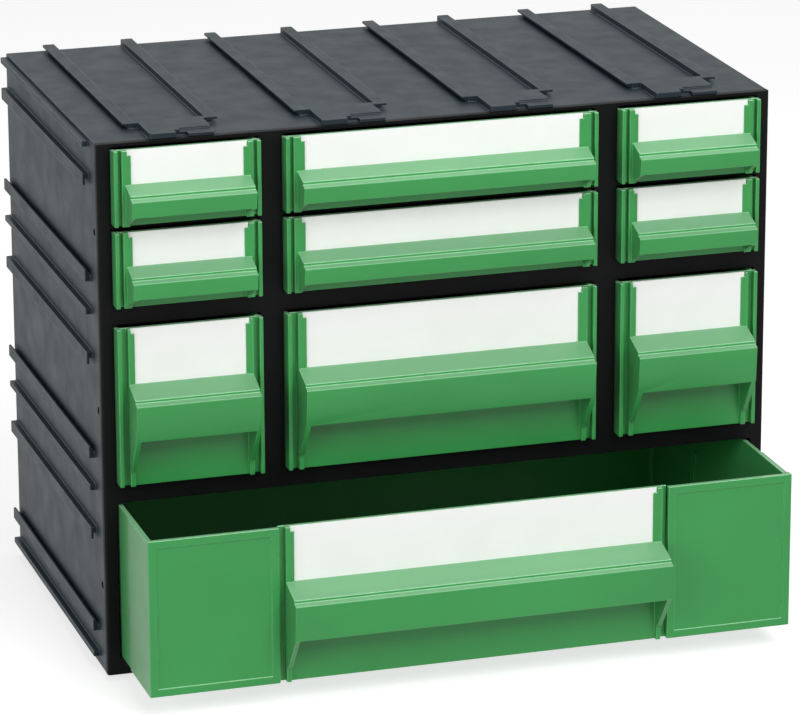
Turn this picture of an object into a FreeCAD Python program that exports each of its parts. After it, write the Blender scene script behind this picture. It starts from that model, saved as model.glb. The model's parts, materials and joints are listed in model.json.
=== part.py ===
import FreeCAD, Part
import math
import os

# Parts bin cabinet: a moulded housing of panels, bezel, partitions and shelves that holds ten
# sliding drawers, each with a label card. Lengths are in millimetres.
# +X is right, +Y is back, +Z is up. The origin is the middle of the housing on its resting plane.

Vector = FreeCAD.Vector

# Housing
cabinet_width = 225.0
cabinet_depth = 127.0
outer_wall = 2.0
base_wall = 2.0
top_wall = 1.2
back_wall = 2.0
bezel_thickness = 2.5
bezel_edge_radius = 0.9
runner_height = 3.6
runner_width = 3.0
guide_depth = 2.2
guide_height = 2.0
narrow_opening_width = 48.3
full_opening_height = 52.8
tall_opening_height = 53.0
low_opening_height = 25.2
partition_width = 7.5
partition_wall = 2.0
shelf_height = 6.3
shelf_skin = 1.6
shelf_web = 1.5
shelf_web_pitch = 17.0
thin_shelf = 1.4
modules_across = 4
modules_up = 3
runner_count = 6

# Interlocking rails on the four outer faces
rail_height = 2.0
rail_stem = 2.0
rail_lip = 2.0
rail_lip_thickness = 0.9
rail_clearance = 0.3
hook_spread = 25.0
hook_setback = 16.0
catch_setback = 11.0
border_rib_width = 2.0
border_rib_rise = 0.8
stop_plate_width = 21.0
stop_plate_setback = 1.0
side_plate_setback = 6.0
stop_notch_width = 4.0
stop_notch_depth = 3.0
stop_step_depth = 5.0
stop_step_drop = 0.7
dimple_radius = 1.3
dimple_depth = 0.8
dimple_setback = 5.0

# Keyholes for hanging the cabinet
keyhole_spacing = 169.0
keyhole_radius = 4.0
keyhole_slot_width = 4.4
keyhole_slot_length = 7.0
keyhole_below_top = 22.0
back_stop_depth = 3.6
back_stop_width = 1.6

# Drawers
drawer_clearance = 0.3
drawer_wall = 1.4
drawer_floor = 1.4
tray_rim_drop = 0.6
tray_corner_radius = 3.0
rear_wall_drop = 2.4
front_reach = 4.5
full_drawer_pull = 33.5
full_drawer_blank = 42.7
collar_depth = 23.0
collar_step = 0.4
flange_width = 1.3
low_groove_width = 1.2
tall_groove_width = 2.1
groove_depth = 2.2
side_margin = 5.6
wide_margin = 6.3
full_margin = 5.0
lip_width = 1.3
lip_thickness = 0.8
lip_edge = 0.3
lip_below_top = 1.6
card_thickness = 0.5
card_clearance = 0.1
pocket_wall = 1.6
blank_wall = 1.7
field_inset = 2.6
field_depth = 0.35

# Pulls
low_handle_reach = 8.0
tall_handle_reach = 9.6
full_handle_reach = 11.0
pull_margin = 3.6
hood_wall = 1.5
cheek_wall = 1.4
cheek_foot = 1.2
cheek_foot_share = 0.3
rim_step = 0.9
rim_depth = 1.8
hood_edge_radius = 0.6
tall_label_height = 18.4
tall_ledge_drop = 3.6
tall_grip_height = 12.0
low_label_height = 11.1
low_ledge_drop = 2.6
low_grip_height = 5.5

# Drawer stops and divider slots
stop_nib_setback = 20.0
stop_nib_height = 1.4
stop_nib_length = 3.0
stop_ramp_share = 0.65
stop_nib_width = 5.0
stop_tab_width = 12.0
divider_slot = 1.3
divider_rib = 0.9
divider_share = 0.34
back_stop_share = 0.34
divider_height_share = 0.6

# One overrun for every cut and one sink for every fused root
overrun = 5.0
root = 0.3

# Levels and faces worked out from the sizes
half_width = cabinet_width / 2
front = -cabinet_depth / 2
back = cabinet_depth / 2
bezel_back = front + bezel_thickness
back_inside = back - back_wall
body_bottom = rail_height
full_bottom = body_bottom + base_wall + runner_height
full_top = full_bottom + full_opening_height
tall_bottom = full_top + shelf_height
tall_top = tall_bottom + tall_opening_height
upper_bottom = tall_top + shelf_height
upper_top = upper_bottom + low_opening_height
top_bottom = upper_top + thin_shelf
top_top = top_bottom + low_opening_height
body_top = top_top + top_wall
body_height = body_top - body_bottom
opening_left = -half_width + outer_wall + guide_depth
opening_right = -opening_left
partition_left_side = opening_left + narrow_opening_width
partition_right_side = opening_right - narrow_opening_width - partition_width
plate_inset = (partition_width - partition_wall) / 2
module_width = cabinet_width / modules_across
module_height = body_height / modules_up
tray_back = back_inside - back_stop_depth - drawer_clearance
front_plate = lip_thickness + card_thickness + card_clearance + pocket_wall

columns = {
    "left": (opening_left, partition_left_side),
    "middle": (partition_left_side + partition_width, partition_right_side),
    "right": (partition_right_side + partition_width, opening_right),
}
rows = {
    "tall": (tall_bottom, tall_top),
    "upper": (upper_bottom, upper_top),
    "top": (top_bottom, top_top),
}


# Shape helpers
def block(x0, x1, y0, y1, z0, z1):
    return Part.makeBox(x1 - x0, y1 - y0, z1 - z0, Vector(x0, y0, z0))


def polygon_face(corners):
    return Part.Face(Part.makePolygon(corners + corners[:1]))


def prism_along_y(points, y0, y1):
    face = polygon_face([Vector(x, y0, z) for x, z in points])
    return face.extrude(Vector(0, y1 - y0, 0))


def prism_along_z(points, z0, z1):
    face = polygon_face([Vector(x, y, z0) for x, y in points])
    return face.extrude(Vector(0, 0, z1 - z0))


def prism_along_x(points, x0, x1):
    face = polygon_face([Vector(x0, y, z) for y, z in points])
    return face.extrude(Vector(x1 - x0, 0, 0))


def join(first, others):
    return first.fuse(others).removeSplitter()


def edges_along(shape, axis, picked):
    chosen = []
    for edge in shape.Edges:
        along = edge.Vertexes[-1].Point - edge.Vertexes[0].Point
        is_parallel = along.Length and abs(along.normalize().dot(axis)) > math.cos(math.pi / 8)
        if is_parallel and picked(edge.CenterOfMass):
            chosen.append(edge)
    return chosen


# Outer faces: each maps a place across the face and a height off it to X and Z
def off_top(across, height):
    return across, body_top + height


def off_base(across, height):
    return across, body_bottom - height


def off_left(across, height):
    return -half_width - height, across


def off_right(across, height):
    return half_width + height, across


def face_bar(place, across0, across1, height0, height1, y0, y1):
    low_x, low_z = place(min(across0, across1), height0)
    high_x, high_z = place(max(across0, across1), height1)
    return block(min(low_x, high_x), max(low_x, high_x), y0, y1, min(low_z, high_z), max(low_z, high_z))


# A hooked rail: a stem with a lip that reaches sideways, drawn as one profile
def rail(place, stem_start, side, y0):
    stem_end = stem_start + side * rail_stem
    lip_end = stem_end + side * rail_lip
    under_lip = rail_height - rail_lip_thickness
    profile = [
        (stem_start, -root),
        (stem_end, -root),
        (stem_end, under_lip),
        (lip_end, under_lip),
        (lip_end, rail_height),
        (stem_start, rail_height),
    ]
    return prism_along_y([place(across, height) for across, height in profile], y0, back)


# A pair of outward hooks with the stepped and notched stop plate that ends them at the front
def hook_pair(place, middle, setback):
    hook_root = hook_spread / 2 - rail_stem / 2
    rails = [rail(place, middle + side * hook_root, side, front + hook_setback) for side in (-1, 1)]
    half_plate = stop_plate_width / 2
    plate_front = front + setback
    plate = face_bar(place, middle - half_plate, middle + half_plate, -root, rail_height,
                     plate_front, front + hook_setback)
    notch = face_bar(place, middle - stop_notch_width / 2, middle + stop_notch_width / 2,
                     0, rail_height + overrun, plate_front - overrun, plate_front + stop_notch_depth)
    step = face_bar(place, middle, middle + half_plate + overrun, rail_height - stop_step_drop,
                    rail_height + overrun, plate_front - overrun, plate_front + stop_step_depth)
    shoulders = face_bar(place, middle - hook_root - rail_stem, middle + hook_root + rail_stem,
                         -root, rail_height, front + hook_setback, front + hook_setback + rail_stem)
    return rails + [plate.cut([notch, step]), shoulders]


# A pair of inward catches that take the hooks of the next cabinet
def catch_pair(place, middle):
    reach = hook_spread / 2 + rail_stem / 2 + rail_lip + rail_clearance
    start = front + catch_setback
    return [rail(place, middle + side * (reach + rail_stem), -side, start) for side in (-1, 1)]


def dimples(place, middles, axis):
    holes = []
    for middle in middles:
        x, z = place(middle, -dimple_depth)
        mouth = Vector(x, front + dimple_setback, z)
        holes.append(Part.makeCylinder(dimple_radius, dimple_depth + overrun, mouth, axis))
    return holes


across_middles = [-half_width + module_width * (number + 1 / 2) for number in range(modules_across)]
upright_middles = [body_bottom + module_height * (number + 1 / 2) for number in range(modules_up)]


# Ribs inside a wall that guide the drawers and carry the shelf ends
def guide_ribs(x0, x1, levels):
    ribs = []
    for low, high in levels:
        ribs.append(block(x0, x1, bezel_back, back_inside, low, low + guide_height))
        ribs.append(block(x0, x1, bezel_back, back_inside, high - guide_height, high))
    return ribs


def make_top_panel():
    plate = block(-half_width, half_width, bezel_back, back, top_top, body_top)
    parts = []
    for middle in across_middles:
        parts += hook_pair(off_top, middle, stop_plate_setback)
    nibs = [stop_nib((low + high) / 2, top_top) for low, high in columns.values()]
    front_of_bezel = block(-half_width - overrun, half_width + overrun, front - overrun, bezel_back,
                           body_bottom, body_top)
    return join(plate, parts + nibs).cut(front_of_bezel)


def make_base_panel():
    plate = block(-half_width, half_width, bezel_back, back, body_bottom, body_bottom + base_wall)
    parts = []
    for middle in across_middles:
        parts += catch_pair(off_base, middle)
    for number in range(1, modules_across):
        boundary = -half_width + module_width * number
        parts.append(face_bar(off_base, boundary - border_rib_width / 2, boundary + border_rib_width / 2,
                              -root, rail_height, front + catch_setback, back))
    pitch = (opening_right - opening_left) / runner_count
    for number in range(runner_count):
        middle = opening_left + pitch * (number + 1 / 2)
        parts.append(block(middle - runner_width / 2, middle + runner_width / 2, bezel_back, back_inside,
                           body_bottom + base_wall - root, full_bottom))
    return join(plate, parts)


def make_side_panel(side):
    outside = side * half_width
    inside = side * (half_width - outer_wall)
    ribs_end = side * opening_right
    base_top = body_bottom + base_wall
    plate = block(min(outside, inside), max(outside, inside), bezel_back, back, base_top, top_top)
    levels = [(full_bottom, full_top)] + list(rows.values())
    inner = guide_ribs(min(inside + side * root, ribs_end), max(inside + side * root, ribs_end), levels)
    outer = []
    place = off_right if side > 0 else off_left
    for middle in upright_middles:
        if side > 0:
            outer += hook_pair(place, middle, side_plate_setback)
        else:
            outer += catch_pair(place, middle)
    if side < 0:
        borders = [base_top + border_rib_rise, top_top - border_rib_width]
        for number in range(1, modules_up):
            borders.append(body_bottom + module_height * number + border_rib_rise)
        for low in borders:
            outer.append(face_bar(place, low, low + border_rib_width, -root, rail_height,
                                  front + catch_setback, back))
    panel = join(plate, inner + outer)
    if side > 0:
        return panel.cut(block(half_width - overrun, half_width + overrun, front - overrun, bezel_back,
                               body_bottom, body_top))
    return panel.cut(dimples(place, upright_middles, Vector(-1, 0, 0)))


def make_back_panel():
    inside = half_width - outer_wall
    panel = block(-inside, inside, back_inside, back, body_bottom + base_wall, top_top)
    stops = []
    for low_x, high_x in columns.values():
        for share in (back_stop_share, 1 - back_stop_share):
            middle = low_x + (high_x - low_x) * share
            for low, high in [(full_bottom, full_top)] + list(rows.values()):
                stops.append(block(middle - back_stop_width / 2, middle + back_stop_width / 2,
                                   back_inside - back_stop_depth, back_inside + root,
                                   low + drawer_floor, high - rear_wall_drop - drawer_floor))
    holes = []
    for side in (-1, 1):
        x = side * keyhole_spacing / 2
        z = body_top - keyhole_below_top
        holes.append(Part.makeCylinder(keyhole_radius, back_wall + 2 * overrun,
                                       Vector(x, back_inside - overrun, z), Vector(0, 1, 0)))
        holes.append(block(x - keyhole_slot_width / 2, x + keyhole_slot_width / 2, back_inside - overrun,
                           back + overrun, z, z + keyhole_slot_length))
        holes.append(Part.makeCylinder(keyhole_slot_width / 2, back_wall + 2 * overrun,
                                       Vector(x, back_inside - overrun, z + keyhole_slot_length),
                                       Vector(0, 1, 0)))
    return join(panel, stops).cut(holes)


def make_front_frame():
    plate = block(-half_width, half_width, front, bezel_back, body_bottom, body_top)
    rims = edges_along(plate, Vector(0, 0, 1), lambda place: place.y < front + bezel_thickness / 2)
    plate = plate.makeFillet(bezel_edge_radius, rims)
    ahead = front - overrun
    behind = bezel_back + overrun
    openings = [block(opening_left, opening_right, ahead, behind, full_bottom, full_top)]
    for low, high in rows.values():
        for left, right in columns.values():
            openings.append(block(left, right, ahead, behind, low, high))
    return plate.cut(openings)


def make_partition(left_side):
    plate = block(left_side + plate_inset, left_side + partition_width - plate_inset,
                  bezel_back, back_inside, full_top + shelf_height, top_top)
    levels = list(rows.values())
    right_side = left_side + partition_width
    ribs = guide_ribs(left_side, left_side + plate_inset + root, levels)
    ribs += guide_ribs(right_side - plate_inset - root, right_side, levels)
    return join(plate, ribs)


# A wedge under a shelf that catches the tab on the drawer's rear wall
def stop_nib(middle, ceiling):
    tip = front + stop_nib_setback
    wedge = [
        (tip - stop_nib_length, ceiling + root),
        (tip - stop_nib_length, ceiling),
        (tip - stop_nib_length * (1 - stop_ramp_share), ceiling - stop_nib_height),
        (tip, ceiling - stop_nib_height),
        (tip, ceiling + root),
    ]
    return prism_along_x(wedge, middle - stop_nib_width / 2, middle + stop_nib_width / 2)


# A ribbed shelf: a skin on top and webs below that run front to back
def make_ribbed_shelf(left, right, bottom, middles):
    top = bottom + shelf_height
    skin = block(left, right, bezel_back, back_inside, top - shelf_skin, top)
    webs = []
    gaps = max(2 * round((right - left) / shelf_web_pitch / 2), 2)
    step = (right - left - shelf_web) / gaps
    for number in range(gaps + 1):
        start = left + step * number
        webs.append(block(start, start + shelf_web, bezel_back, back_inside, bottom,
                          top - shelf_skin + root))
    nibs = []
    for middle in middles:
        seat = block(middle - stop_nib_width / 2, middle + stop_nib_width / 2, bezel_back,
                     front + stop_nib_setback, bottom, top - shelf_skin + root)
        nibs += [seat, stop_nib(middle, bottom)]
    return join(skin, webs + nibs)


def make_thin_shelf(left, right, bottom, middle):
    plate = block(left, right, bezel_back, back_inside, bottom, bottom + thin_shelf)
    return join(plate, [stop_nib(middle, bottom)])


# The bare spans between the plates that a shelf end meets
def shelf_span(column):
    left, right = columns[column]
    left_gap = guide_depth if column == "left" else plate_inset
    right_gap = guide_depth if column == "right" else plate_inset
    return left - left_gap, right + right_gap


# The tray behind a drawer's front: rounded walls, a rear tab, and slots for a divider
def make_tray(left, right, bottom, top, start, end, collar):
    side_inset = collar_step if collar else 0
    outer_left = left + side_inset
    outer_right = right - side_inset
    rim = top - tray_rim_drop
    upright = Vector(0, 0, 1)
    outside = block(outer_left, outer_right, start, end, bottom, rim)
    rear = edges_along(outside, upright, lambda place: place.y > (start + end) / 2)
    outside = outside.makeFillet(tray_corner_radius, rear)
    inside = block(outer_left + drawer_wall, outer_right - drawer_wall, start - overrun, end - drawer_wall,
                   bottom + drawer_floor, rim + overrun)
    inner_rear = edges_along(inside, upright, lambda place: place.y > (start + end) / 2)
    inside = inside.makeFillet(tray_corner_radius - drawer_wall, inner_rear)
    rear_cut = block(outer_left + tray_corner_radius, outer_right - tray_corner_radius,
                     end - tray_corner_radius, end + overrun, top - rear_wall_drop, top + overrun)
    tray = outside.cut([inside, rear_cut])
    middle = (left + right) / 2
    tab = block(middle - stop_tab_width / 2, middle + stop_tab_width / 2, end - drawer_wall, end,
                top - rear_wall_drop - root, top)
    extras = [tab]
    if collar:
        wide = block(left, right, start, start + collar_depth, bottom, rim)
        extras.append(wide.cut(inside))
    rib_top = bottom + drawer_floor + (top - bottom) * divider_height_share
    for share in (divider_share, 1 - divider_share):
        slot = start + (end - start) * share
        for y in (slot - divider_slot / 2 - divider_rib, slot + divider_slot / 2):
            for wall, side in ((outer_left + drawer_wall, 1), (outer_right - drawer_wall, -1)):
                near, far = sorted((wall - side * root, wall + side * divider_rib))
                extras.append(block(near, far, y, y + divider_rib, bottom + drawer_floor - root, rib_top))
    return join(tray, extras)


# The pull under the label: a sloping ledge with a bead, an upright grip and two triangular cheeks
def make_pull(left, right, bottom, label_bottom, face, reach, ledge_drop, grip_height):
    tip = face - reach
    ledge = label_bottom - ledge_drop - rim_step
    rise = ledge_drop / reach * rim_depth
    behind = face + root
    hood = [
        (behind, label_bottom),
        (face, label_bottom),
        (tip + rim_depth, ledge + rise + rim_step),
        (tip + rim_depth, ledge + rise),
        (tip, ledge),
        (tip, ledge - grip_height),
        (tip + hood_wall, ledge - grip_height),
        (tip + hood_wall, ledge - hood_wall),
        (face, label_bottom - hood_wall),
        (behind, label_bottom - hood_wall),
    ]
    foot = bottom + (ledge - grip_height - bottom) * cheek_foot_share
    cheek = [
        (behind, label_bottom),
        (face, label_bottom),
        (tip + rim_depth, ledge),
        (tip, ledge - hood_wall),
        (tip, ledge - grip_height),
        (face - cheek_foot, foot),
        (behind, foot),
    ]
    shell = prism_along_x(hood, left, right)
    nose = edges_along(shell, Vector(1, 0, 0),
                       lambda place: place.y < tip + root and place.z > ledge - root)
    shell = shell.makeFillet(hood_edge_radius, nose)
    cheeks = [prism_along_x(cheek, start, start + cheek_wall) for start in (left, right - cheek_wall)]
    return [shell] + cheeks


# The moulded front: a plate with side grooves, a label pocket open at the top and a recessed foot
def make_front(left, right, bottom, top, face, blank, margin, groove, heights):
    label_height, reach, ledge_drop, grip_height = heights
    behind = face + front_plate
    plate = block(left, right, face, behind, bottom, top)
    side_strip = blank if blank else flange_width
    post_right = right - side_strip - groove
    pull_left = left + side_strip - flange_width + pull_margin
    pull_right = right - side_strip + flange_width - pull_margin
    pocket_left = left + blank + margin - lip_width
    pocket_right = right - blank - margin + lip_width
    label_bottom = top - label_height
    ahead = face - overrun
    cuts = []
    for groove_left in (left + side_strip, post_right):
        cuts.append(block(groove_left, groove_left + groove, ahead, face + groove_depth,
                          bottom - overrun, top + overrun))
    cuts.append(block(pocket_left, pocket_right, face + lip_thickness, behind - pocket_wall,
                      label_bottom, top + overrun))
    window = [
        (pocket_left, ahead),
        (pocket_left, face),
        (pocket_left + lip_width, face + lip_thickness - lip_edge),
        (pocket_left + lip_width, behind - pocket_wall),
        (pocket_right - lip_width, behind - pocket_wall),
        (pocket_right - lip_width, face + lip_thickness - lip_edge),
        (pocket_right, face),
        (pocket_right, ahead),
    ]
    cuts.append(prism_along_z(window, label_bottom, top + overrun))
    cuts.append(block(pocket_left, pocket_right, ahead, behind - pocket_wall,
                      top - lip_below_top, top + overrun))
    foot_ceiling = label_bottom - hood_wall
    cuts.append(block(pull_left + cheek_wall, pull_right - cheek_wall, ahead, behind - pocket_wall,
                      bottom - overrun, foot_ceiling))
    if blank:
        for start in (left, right - blank):
            cuts.append(block(start + field_inset, start + blank - field_inset, ahead, face + field_depth,
                              bottom + field_inset, top - field_inset))
            outer_strip = drawer_wall if start == left else 0
            inner_strip = drawer_wall - outer_strip
            cuts.append(block(start + outer_strip, start + blank - inner_strip, face + blank_wall,
                              behind + overrun, bottom + drawer_floor, top + overrun))
    plate = plate.cut(cuts)
    pull = make_pull(pull_left, pull_right, bottom, label_bottom, face, reach, ledge_drop, grip_height)
    return join(plate, pull), (pocket_left, pocket_right, label_bottom)


def make_drawer(left, right, low, high, full):
    x0 = left + drawer_clearance
    x1 = right - drawer_clearance
    z0 = low + drawer_clearance
    z1 = high - drawer_clearance
    pull_out = full_drawer_pull if full else 0
    face = front - front_reach - pull_out
    is_low = high - low < (low_opening_height + tall_opening_height) / 2
    label_height = low_label_height if is_low else tall_label_height
    reach = low_handle_reach if is_low else tall_handle_reach
    ledge_drop = low_ledge_drop if is_low else tall_ledge_drop
    grip_height = low_grip_height if is_low else tall_grip_height
    groove = low_groove_width if is_low else tall_groove_width
    blank = full_drawer_blank if full else 0
    margin = wide_margin if right - left > 2 * narrow_opening_width else side_margin
    if full:
        margin = full_margin
        reach = full_handle_reach
    heights = (label_height, reach, ledge_drop, grip_height)
    moulding, pocket = make_front(x0, x1, z0, z1, face, blank, margin, groove, heights)
    tray = make_tray(x0, x1, z0, z1, face + front_plate - root, tray_back - pull_out, full)
    pocket_left, pocket_right, label_bottom = pocket
    card_back = face + front_plate - pocket_wall
    card = block(pocket_left + card_clearance, pocket_right - card_clearance, card_back - card_thickness,
                 card_back, label_bottom, z1)
    return join(moulding, [tray]), card


def build():
    pieces = {
        "front_frame": make_front_frame(),
        "top_panel": make_top_panel(),
        "base_panel": make_base_panel(),
        "left_panel": make_side_panel(-1),
        "right_panel": make_side_panel(1),
        "back_panel": make_back_panel(),
        "partition_left": make_partition(partition_left_side),
        "partition_right": make_partition(partition_right_side),
    }
    inside = half_width - outer_wall
    pieces["shelf_lower"] = make_ribbed_shelf(-inside, inside, full_top, [0])
    for column, (left, right) in columns.items():
        start, end = shelf_span(column)
        middle = (left + right) / 2
        pieces["shelf_middle_" + column] = make_ribbed_shelf(start, end, tall_top, [middle])
        pieces["shelf_upper_" + column] = make_thin_shelf(start, end, upper_top, middle)
    for row, (low, high) in rows.items():
        for column, (left, right) in columns.items():
            name = row + "_" + column
            pieces["drawer_" + name], pieces["label_" + name] = make_drawer(left, right, low, high, False)
    pieces["drawer_bottom"], pieces["label_bottom"] = make_drawer(opening_left, opening_right,
                                                                  full_bottom, full_top, True)
    return pieces


def main():
    os.makedirs("parts", exist_ok=True)
    for name, shape in build().items():
        shape.exportStep("parts/" + name + ".step")
        print(name, len(shape.Solids), shape.isValid(), round(shape.Volume))


main()
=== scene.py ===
import json
import math
import bmesh
import bpy
from mathutils import Matrix, Vector


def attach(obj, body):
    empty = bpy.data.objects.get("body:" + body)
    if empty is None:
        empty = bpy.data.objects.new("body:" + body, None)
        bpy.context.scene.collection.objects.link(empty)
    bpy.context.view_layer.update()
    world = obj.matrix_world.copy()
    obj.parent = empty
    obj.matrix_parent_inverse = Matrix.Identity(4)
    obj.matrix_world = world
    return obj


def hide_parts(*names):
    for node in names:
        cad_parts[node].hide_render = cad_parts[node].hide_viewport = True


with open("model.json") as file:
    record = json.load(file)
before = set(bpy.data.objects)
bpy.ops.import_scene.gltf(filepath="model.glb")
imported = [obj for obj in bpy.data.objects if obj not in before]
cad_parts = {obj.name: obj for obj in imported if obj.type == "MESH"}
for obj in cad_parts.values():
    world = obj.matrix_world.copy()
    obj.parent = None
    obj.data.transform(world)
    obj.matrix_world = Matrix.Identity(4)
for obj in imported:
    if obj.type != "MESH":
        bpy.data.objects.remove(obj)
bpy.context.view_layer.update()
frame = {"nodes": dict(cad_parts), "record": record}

# All lengths are in metres, in the cabinet's own frame: +X right, +Y back, +Z up.
mm = 0.001

# The camera, fitted to the cabinet's corners and label edges. Its angles are in degrees.
camera_azimuth = -17.24
camera_elevation = 17.41
camera_roll = 0.19
camera_distance = 1573.9 * mm
camera_slide = Vector((-5.94 * mm, 9.78 * mm))
aim_point = Vector((0, 0, 90 * mm))
focal_pixels = 4678.6
image_width = 800
sensor_width = 36.0
far_clip = 20

# Mouldings: faces closer than the flat angle are one face, and edges past the sharp angle are broken. Where
# an edge is short, the break takes no more than the edge share of it.
merge_gap = 0.001 * mm
flat_angle = math.radians(1)
sharp_angle = math.radians(30)
edge_radius = 0.25 * mm
edge_share = 0.4
edge_segments = 2

# Drawer fronts, as in their solids: where the pull and its groove start, in from the side, how wide the
# blank panels beside the bottom label are, how thick the hood is and how far the grip leans back
pull_inset = 3.6 * mm
groove_edge = 3.4 * mm
blank_width = 41.4 * mm
hood_wall = 1.5 * mm
grip_lean = 0.8 * mm

# Grain: a spark-eroded mould leaves pits of about 0.1 mm on plastic, and card has fibres of about 0.05 mm. A
# pixel of the render covers 0.34 mm, so both are drawn coarser, seven and ten times, to show at all.
mould_pit = 0.1 * mm
card_fibre = 0.05 * mm
pit_drawn = 7 * mould_pit
fibre_drawn = 10 * card_fibre
pit_depth = 0.01 * mm
coarse_pit_depth = 0.015 * mm
grain_strength = 0.5

# The span that noise mostly keeps to, and how far a face looks up where its painted top light starts and is
# full
noise_span = (0.3, 0.7)
painted_top_light_span = (0.2, 0.95)

# The studio: how strongly the white world lights and how strongly it shows, and the floor's glow to the eye
fill_light = 0.12
backdrop_light = 1.0
floor_lift = 0.72
floor_side = 6
floor_roughness = 0.9


# A colour written as sRGB hex, turned to the linear values that shaders take
def linear(hex_colour):
    values = []
    for start in (0, 2, 4):
        share = int(hex_colour[start:start + 2], 16) / 255
        values.append(share / 12.92 if share <= 0.04045 else ((share + 0.055) / 1.055) ** 2.4)
    return (*values, 1)


# Adds a node with its settings, values and links
def add(tree, kind, settings=None, values=None, links=None):
    made = tree.nodes.new(kind)
    for name, value in (settings or {}).items():
        setattr(made, name, value)
    for name, value in (values or {}).items():
        made.inputs[name].default_value = value
    for name, source in (links or {}).items():
        tree.links.new(source, made.inputs[name])
    return made


def new_material(name):
    made = bpy.data.materials.new(name)
    made.use_nodes = True
    made.node_tree.nodes.clear()
    return made, made.node_tree


# A surface with clouded colour, clouded gloss, a fine grain in relief and, where given, a painted highlight:
# its upward faces mixed towards a pale colour that stands in for light from above. Its colour clouds are as
# wide as the flow of the melt leaves them, and its gloss clouds a third of that.
def surface(name, colours, cloud, gloss, grain, relief, sockets, painted_top_light=None):
    made, tree = new_material(name)
    place = add(tree, "ShaderNodeTexCoord").outputs["Object"]
    colour_cloud, gloss_cloud, pits = (
        add(tree, "ShaderNodeTexNoise", values={"Scale": 1 / size}, links={"Vector": place}).outputs["Fac"]
        for size in (cloud, cloud / 3, grain))
    shade = add(tree, "ShaderNodeMapRange", values={"From Min": noise_span[0], "From Max": noise_span[1]},
                links={"Value": colour_cloud})
    colour = add(tree, "ShaderNodeMix", {"data_type": "RGBA"},
                 values={6: linear(colours[0]), 7: linear(colours[1])},
                 links={0: shade.outputs[0]}).outputs[2]
    # Painted highlight: the more a face looks up, the more its colour is mixed towards the pale one, as
    # light from above.
    if painted_top_light:
        facing = add(tree, "ShaderNodeSeparateXYZ",
                     links={0: add(tree, "ShaderNodeNewGeometry").outputs["Normal"]})
        painted_top_share = add(tree, "ShaderNodeMapRange",
                      values={"From Min": painted_top_light_span[0], "From Max": painted_top_light_span[1], "To Max": painted_top_light[1]},
                      links={"Value": facing.outputs["Z"]})
        colour = add(tree, "ShaderNodeMix", {"data_type": "RGBA"}, values={7: linear(painted_top_light[0])},
                     links={0: painted_top_share.outputs[0], 6: colour}).outputs[2]
    dull = add(tree, "ShaderNodeMapRange",
               values={"From Min": noise_span[0], "From Max": noise_span[1],
                       "To Min": gloss[0], "To Max": gloss[1]},
               links={"Value": gloss_cloud})
    rough = add(tree, "ShaderNodeBump", values={"Strength": grain_strength, "Distance": relief},
                links={"Height": pits})
    shader = add(tree, "ShaderNodeBsdfPrincipled", values=sockets,
                 links={"Base Color": colour, "Roughness": dull.outputs[0], "Normal": rough.outputs[0]})
    add(tree, "ShaderNodeOutputMaterial", links={"Surface": shader.outputs["BSDF"]})
    return made


# Drawers: injection-moulded polypropylene, dyed through. It is waxy and half glossy, and its upward faces
# carry a painted highlight, a paler green that stands in for the light falling on them from above.
green = surface("moulded_green_polypropylene", colours=("288b40", "2d9346"), cloud=38 * mm,
                gloss=(0.34, 0.42), grain=pit_drawn, relief=pit_depth, painted_top_light=("a8ceb0", 0.33),
                sockets={"Specular IOR Level": 0.54, "Sheen Weight": 0.2, "Sheen Roughness": 0.4})

# Their rounded edges: the same plastic painted lighter, and paler still where they look up, a painted
# highlight that gives every rim a lighter line.
green_edge_highlight = surface("green_polypropylene_painted_edge_highlight", colours=("3a9c50", "4aa85e"), cloud=6 * mm,
                     gloss=(0.26, 0.36), grain=pit_drawn, relief=pit_depth, painted_top_light=("a8d2b0", 0.65),
                     sockets={"Specular IOR Level": 0.6})

# Front grid, partitions and shelves: moulded black ABS with a fine matt grain, which keeps the cells dark.
# Its black is deeper than the shell's charcoal: partly the grid's own colour, partly painted shade for its
# front faces.
black = surface("moulded_black_abs", colours=("080809", "0b0b0c"), cloud=30 * mm, gloss=(0.5, 0.6),
                grain=pit_drawn, relief=pit_depth, sockets={"Specular IOR Level": 0.1})

# Their rounded edges: painted a shade lighter and a little glossier, a painted highlight that leaves a faint
# grey line along each bar.
black_edge_highlight = surface("black_abs_painted_edge_highlight", colours=("0d0d0e", "141415"), cloud=8 * mm, gloss=(0.42, 0.52),
                     grain=pit_drawn, relief=pit_depth, sockets={"Specular IOR Level": 0.1})

# Outer panels: moulded charcoal ABS, a bluish satin grey with a soft, even sheen on the large faces. Its
# charcoal is a tone lighter than the grid's black: partly the panels' own colour, partly painted light for
# the lit top and left faces.
shell = surface("moulded_charcoal_abs", colours=("19242a", "1d2930"), cloud=30 * mm, gloss=(0.44, 0.54),
                grain=pit_drawn, relief=coarse_pit_depth, sockets={"Specular IOR Level": 0.22})

# Their rounded edges and the rails' own: painted a shade lighter, a painted highlight along every edge.
shell_edge_highlight = surface("charcoal_abs_painted_edge_highlight", colours=("242e34", "323c42"), cloud=8 * mm, gloss=(0.36, 0.46),
                     grain=pit_drawn, relief=pit_depth, sockets={"Specular IOR Level": 0.3})

# Label cards: uncoated white card, dead matt and almost even, a hair darker where its fibres bunch.
card = surface("uncoated_white_card", colours=("f5f5f3", "f8f8f7"), cloud=15 * mm, gloss=(0.75, 0.9),
               grain=fibre_drawn, relief=pit_depth, sockets={"Specular IOR Level": 0.3})

# Each slot's finish on its faces, and its painted edge highlight on its broken edges
finishes = {"drawer_green": (green, green_edge_highlight), "frame_black": (black, black_edge_highlight),
            "shell_grey": (shell, shell_edge_highlight), "label_card": (card,)}
slots = {row["node"]: row["material_slot"] for row in frame["record"]["subparts"]}
riders = {node: body for body, nodes in frame["record"]["behaviour"]["bodies"].items() for node in nodes}


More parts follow.
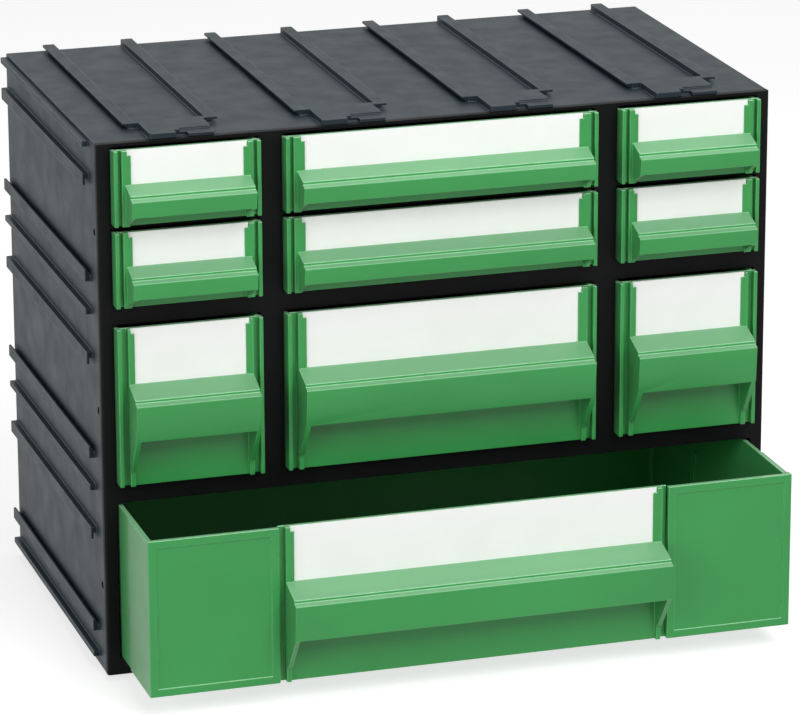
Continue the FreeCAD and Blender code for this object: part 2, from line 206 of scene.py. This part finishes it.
# The pull's ends on a tall or full-width drawer, brought flush with the grooves beside them
def close_pull_ends(shape, blank):
    sides = [corner.co.x for corner in shape.verts]
    middle = (min(sides) + max(sides)) / 2
    half_front = (max(sides) - min(sides)) / 2 - blank
    for corner in shape.verts:
        reach = abs(corner.co.x - middle)
        if abs(reach - (half_front - pull_inset)) < merge_gap:
            corner.co.x = middle + math.copysign(half_front - groove_edge, corner.co.x - middle)
    bmesh.ops.remove_doubles(shape, verts=shape.verts, dist=merge_gap)
    bmesh.ops.dissolve_degenerate(shape, edges=shape.edges, dist=merge_gap)


# A pull's grip, set back towards its lower edge so that it leaves the mould
def lean_grip(shape):
    tip = min(corner.co.y for corner in shape.verts)
    ends = [corner.co.z for corner in shape.verts if corner.co.y - tip < merge_gap]
    for corner in shape.verts:
        if corner.co.y - tip < hood_wall + merge_gap:
            share = (max(ends) - corner.co.z) / (max(ends) - min(ends))
            corner.co.y += grip_lean * max(share, 0)


# How far each edge is broken: in full where both its ends have room for that, and less where they haven't
def weigh_edges(shape):
    weights = shape.edges.layers.float.new("bevel_weight_edge")
    room = {}
    for corner in shape.verts:
        room[corner] = min((edge.calc_length() for edge in corner.link_edges), default=0) * edge_share
    for edge in shape.edges:
        if len(edge.link_faces) == 2 and edge.calc_face_angle() > sharp_angle:
            edge[weights] = min(1, min(room[corner] for corner in edge.verts) / edge_radius)


# A CAD node's own solid, its faces merged and its edges broken as a moulding's are
def moulding(node):
    mesh = bpy.data.meshes.new(node + "_moulding")
    shape = bmesh.new()
    shape.from_mesh(frame["nodes"][node].data)
    bmesh.ops.remove_doubles(shape, verts=shape.verts, dist=merge_gap)
    if node.startswith("drawer_tall") or node == "drawer_bottom":
        close_pull_ends(shape, blank_width if node == "drawer_bottom" else 0)
    if node.startswith("drawer"):
        lean_grip(shape)
    bmesh.ops.dissolve_limit(shape, angle_limit=flat_angle, verts=shape.verts, edges=shape.edges)
    weigh_edges(shape)
    for face in shape.faces:
        face.smooth = True
    shape.to_mesh(mesh)
    shape.free()
    for layer in ("custom_normal", "sharp_edge"):
        if layer in mesh.attributes:
            mesh.attributes.remove(mesh.attributes[layer])
    mesh.materials.clear()
    for finish in finishes[slots[node]]:
        mesh.materials.append(finish)
    piece = bpy.data.objects.new(node + "_moulding", mesh)
    bpy.context.scene.collection.objects.link(piece)
    rounding = piece.modifiers.new("broken_edges", "BEVEL")
    rounding.limit_method = "WEIGHT"
    rounding.width = edge_radius
    rounding.segments = edge_segments
    rounding.use_clamp_overlap = False
    rounding.harden_normals = True
    # The bevel faces take the slot's second material, its painted edge highlight.
    rounding.material = 1
    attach(piece, riders[node])
    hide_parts(node)


for name, piece in frame["nodes"].items():
    if slots[name] == "label_card":
        piece.data.materials.clear()
        piece.data.materials.append(card)
for name in sorted(slots):
    if slots[name] != "label_card":
        moulding(name)


# The camera looks from the front, from the left and above
def place_camera():
    azimuth = math.radians(camera_azimuth)
    elevation = math.radians(camera_elevation)
    back = Vector((math.sin(azimuth) * math.cos(elevation), -math.cos(azimuth) * math.cos(elevation),
                   math.sin(elevation)))
    right = Vector((math.cos(azimuth), math.sin(azimuth), 0))
    up = back.cross(right)
    roll = Matrix.Rotation(math.radians(camera_roll), 3, "Z")
    turn = Matrix((right, up, back)).transposed() @ roll.transposed()
    right, up, back = turn.col
    place = aim_point + back * camera_distance - right * camera_slide.x - up * camera_slide.y
    lens = bpy.data.cameras.new("camera")
    lens.sensor_width = sensor_width
    lens.lens = focal_pixels * sensor_width / image_width
    lens.clip_end = far_clip
    holder = bpy.data.objects.new("camera", lens)
    bpy.context.scene.collection.objects.link(holder)
    holder.matrix_world = Matrix.Translation(place) @ turn.to_4x4()
    bpy.context.scene.camera = holder


place_camera()


# A square softbox that faces the middle of the cabinet
def softbox(name, place, side, power):
    lamp = bpy.data.lights.new(name, "AREA")
    lamp.shape = "SQUARE"
    lamp.size = side
    lamp.energy = power
    holder = bpy.data.objects.new(name, lamp)
    bpy.context.scene.collection.objects.link(holder)
    turn = (aim_point - Vector(place)).to_track_quat("-Z", "Y")
    holder.matrix_world = Matrix.Translation(place) @ turn.to_matrix().to_4x4()


softbox("front_softbox", place=(0.3, -1.1, 1.1), side=0.9, power=16.6)
softbox("overhead_softbox", place=(0.1, -0.05, 1.25), side=1.0, power=5.4)
softbox("left_softbox", place=(-1.3, -0.7, 0.45), side=0.9, power=8.6)


# 1 for a ray that comes from the eye, off a shiny surface or through a clear one, and 0 for the others
def looked_at(tree):
    rays = add(tree, "ShaderNodeLightPath")
    total = rays.outputs["Is Camera Ray"]
    for kind in ("Is Glossy Ray", "Is Transmission Ray"):
        total = add(tree, "ShaderNodeMath", {"operation": "ADD", "use_clamp": True},
                    links={0: total, 1: rays.outputs[kind]}).outputs[0]
    return total


# The backdrop: white to look at, and a dim even fill to everything it lights
world = bpy.data.worlds.new("studio")
bpy.context.scene.world = world
world.use_nodes = True
tree = world.node_tree
tree.nodes.clear()
strength = add(tree, "ShaderNodeMapRange", values={"To Min": fill_light, "To Max": backdrop_light},
               links={"Value": looked_at(tree)})
sky = add(tree, "ShaderNodeBackground", values={"Color": linear("ffffff")},
          links={"Strength": strength.outputs[0]})
add(tree, "ShaderNodeOutputWorld", links={"Surface": sky.outputs[0]})

# The floor: pale, and white to the camera wherever no shadow falls
bpy.ops.mesh.primitive_plane_add(size=floor_side, location=(0, 0, 0))
floor = bpy.context.object
floor.name = "floor"
floor_material, tree = new_material("pale_floor")
lift = add(tree, "ShaderNodeMath", {"operation": "MULTIPLY"}, values={1: floor_lift},
           links={0: looked_at(tree)})
shader = add(tree, "ShaderNodeBsdfPrincipled",
             values={"Base Color": linear("b8b8b8"), "Roughness": floor_roughness, "Specular IOR Level": 0,
                     "Emission Color": linear("ffffff")},
             links={"Emission Strength": lift.outputs[0]})
add(tree, "ShaderNodeOutputMaterial", links={"Surface": shader.outputs["BSDF"]})
floor.data.materials.append(floor_material)

bpy.context.scene.view_settings.view_transform = "Standard"
